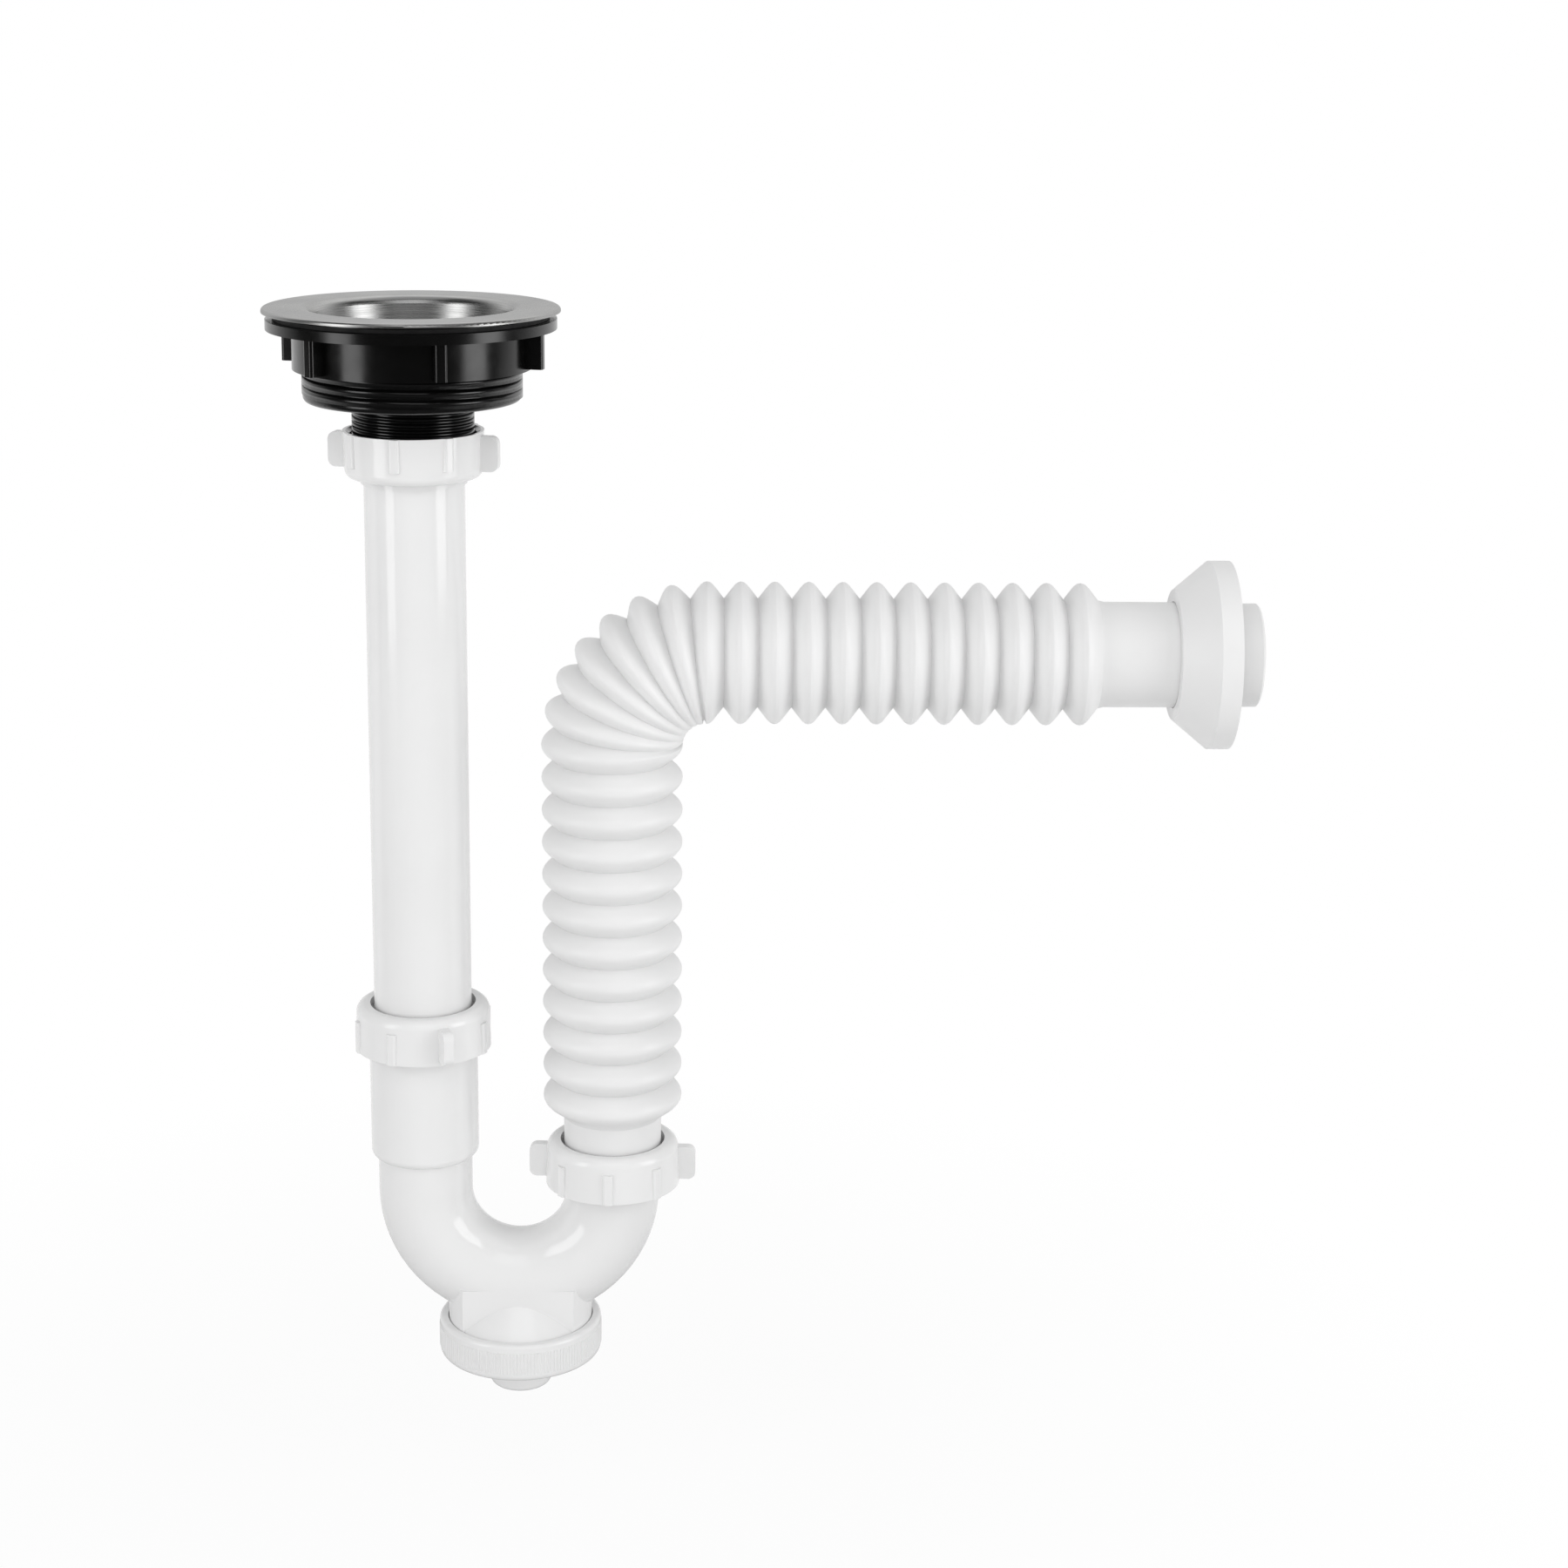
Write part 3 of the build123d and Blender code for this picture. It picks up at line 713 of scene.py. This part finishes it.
# %% Floor
floor_size = 6.0
floor_drop = 40.0 * MM
floor_level = cad_low.z - floor_drop
floor_tone = 0.9
dim_tone = 0.1
floor_roughness = 0.9
shadow_reach = 0.15
white_reach = 0.45
near_white = 0.92
behind_reach = 0.3
half = floor_size / 2
corners = [(x * half, y * half, floor_level) for x, y in ((-1, -1), (1, -1), (1, 1), (-1, 1))]
floor_mesh = bpy.data.meshes.new("floor")
floor_mesh.from_pydata(corners, [], [(0, 1, 2, 3)])
floor = bpy.data.objects.new("floor", floor_mesh)
bpy.context.scene.collection.objects.link(floor)

floor_paint = bpy.data.materials.new("floor_paint")
floor_paint.use_nodes = True
tree = floor_paint.node_tree
matt = tree.nodes["Principled BSDF"]
matt.inputs["Roughness"].default_value = floor_roughness
glow = add(tree, "ShaderNodeEmission", {"Color": (1, 1, 1, 1), "Strength": 1.0})
rays = add(tree, "ShaderNodeLightPath").outputs
place = add(tree, "ShaderNodeTexCoord").outputs["Object"]
place_parts = add(tree, "ShaderNodeSeparateXYZ", {0: place}).outputs
behind = spread(tree, place_parts[1], 0.0, behind_reach, 0.0, 1.0)
mirrored_behind = calc(tree, "MULTIPLY", rays["Is Glossy Ray"], behind)
mirrored_ahead = calc(tree, "SUBTRACT", rays["Is Glossy Ray"], mirrored_behind)
tones = spread(tree, mirrored_ahead, 0.0, 1.0, floor_tone, dim_tone)
tree.links.new(tones, matt.inputs["Base Color"])
direct = calc(tree, "MAXIMUM", rays["Is Camera Ray"], rays["Is Transmission Ray"])
seen = calc(tree, "MAXIMUM", direct, mirrored_behind)
span = {0: place, 1: (cleanout_x, 0, floor_level)}
distance = add(tree, "ShaderNodeVectorMath", span, operation="DISTANCE").outputs["Value"]
whiteness = spread(tree, distance, shadow_reach, white_reach, near_white, 1.0)
white_share = calc(tree, "MULTIPLY", seen, whiteness)
shares = {"Fac": white_share, 1: matt.outputs[0], 2: glow.outputs[0]}
mixed = add(tree, "ShaderNodeMixShader", shares)
tree.links.new(mixed.outputs[0], tree.nodes["Material Output"].inputs["Surface"])
floor_mesh.materials.append(floor_paint)
print("floor at", round(floor_level, 4))

# %% [markdown]
# The world is white to the camera too. For the light that it sheds, it is a soft fill that is stronger
# from the front than from behind. Shiny pieces see a white backdrop behind them and a dim room in front,
# and the panels stand out in it. Front and back are told apart by the Y part of a direction, which is -1
# straight ahead of the object and 1 straight behind it.

# %% World
front_fill = 0.78
back_fill = 0.36
fill_end = 0.3
room_glow = 0.012
backdrop_start = 0.1
backdrop_full = 0.7
world = bpy.data.worlds.new("studio")
bpy.context.scene.world = world
world.use_nodes = True
tree = world.node_tree
background = tree.nodes["Background"]
background.inputs["Color"].default_value = (1, 1, 1, 1)
rays = add(tree, "ShaderNodeLightPath").outputs
direct = calc(tree, "MAXIMUM", rays["Is Camera Ray"], rays["Is Transmission Ray"])
direction = add(tree, "ShaderNodeTexCoord").outputs["Generated"]
rearward = add(tree, "ShaderNodeSeparateXYZ", {0: direction}).outputs[1]
fill_light = spread(tree, rearward, -1.0, fill_end, front_fill, back_fill)
backdrop = spread(tree, rearward, backdrop_start, backdrop_full, room_glow, 1.0)
indirect = {"Factor": rays["Is Glossy Ray"], "A": fill_light, "B": backdrop}
shed = add(tree, "ShaderNodeMix", indirect).outputs["Result"]
strength = add(tree, "ShaderNodeMix", {"Factor": direct, "A": shed, "B": 1.0}).outputs["Result"]
tree.links.new(strength, background.inputs["Strength"])
print("world fill", front_fill, "to", back_fill)

# %% [markdown]
# Four panels light the pieces: one on each side, which show as soft bands in the black plastic, one
# ahead and above, and a weak one overhead. A low card in front brightens the undersides of the folds. It
# is left out of reflections, because it would show in the black as a grey patch.

# %% Lights
object_middle = (cad_low + cad_high) / 2


def panel(name, offset, width, height, power):
    """An area lamp in metres and watts, turned to the middle of the object."""
    lamp = bpy.data.lights.new(name, "AREA")
    lamp.shape = "RECTANGLE"
    lamp.size = width
    lamp.size_y = height
    lamp.energy = power
    light = bpy.data.objects.new(name, lamp)
    bpy.context.scene.collection.objects.link(light)
    light.location = object_middle + Vector(offset)
    light.rotation_euler = (-Vector(offset)).to_track_quat("-Z", "Y").to_euler()
    print(name, "at", [round(part, 2) for part in light.location])
    return light


panel("left_panel", (-1.25, -0.85, 0.35), width=0.55, height=1.3, power=5.75)
panel("right_panel", (1.4, -0.65, 0.35), width=0.75, height=1.3, power=8.8)
panel("front_panel", (0.0, -0.95, 1.15), width=1.0, height=0.8, power=2.2)
low_card = panel("low_card", (0.0, -1.3, 0.0), width=1.2, height=0.4, power=1.3)
low_card.visible_glossy = False
panel("top_panel", (0.0, 0.2, 1.3), width=1.2, height=1.2, power=2.0)

# %% [markdown]
# The camera stands in front, a little above the strainer, and looks down on the trap. Its lens is long,
# and a small shift puts the object off the middle of the square picture, as in the photograph.

# %% Camera
image_size = 1800
focal_px = 3500
axis_px = (840, 800)
camera_place = Vector((103.3, -1145.9, 135.5)) * MM
yaw = radians(0.90)
pitch_down = radians(13.80)
roll = radians(0.47)
camera_data = bpy.data.cameras.new("camera")
camera = bpy.data.objects.new("camera", camera_data)
bpy.context.scene.collection.objects.link(camera)
camera_data.sensor_width = 36.0
camera_data.lens = focal_px / image_size * camera_data.sensor_width
camera_data.shift_x = 0.5 - axis_px[0] / image_size
camera_data.shift_y = axis_px[1] / image_size - 0.5
camera_data.clip_start = 0.01
camera_data.clip_end = 20.0
tilt = Matrix.Rotation(pi / 2 - pitch_down, 4, "X") @ Matrix.Rotation(roll, 4, "Z")
camera.matrix_world = Matrix.Translation(camera_place) @ Matrix.Rotation(-yaw, 4, "Z") @ tilt
bpy.context.scene.camera = camera
bpy.context.scene.view_settings.view_transform = "Standard"
print("lens", round(camera_data.lens, 1), "mm")
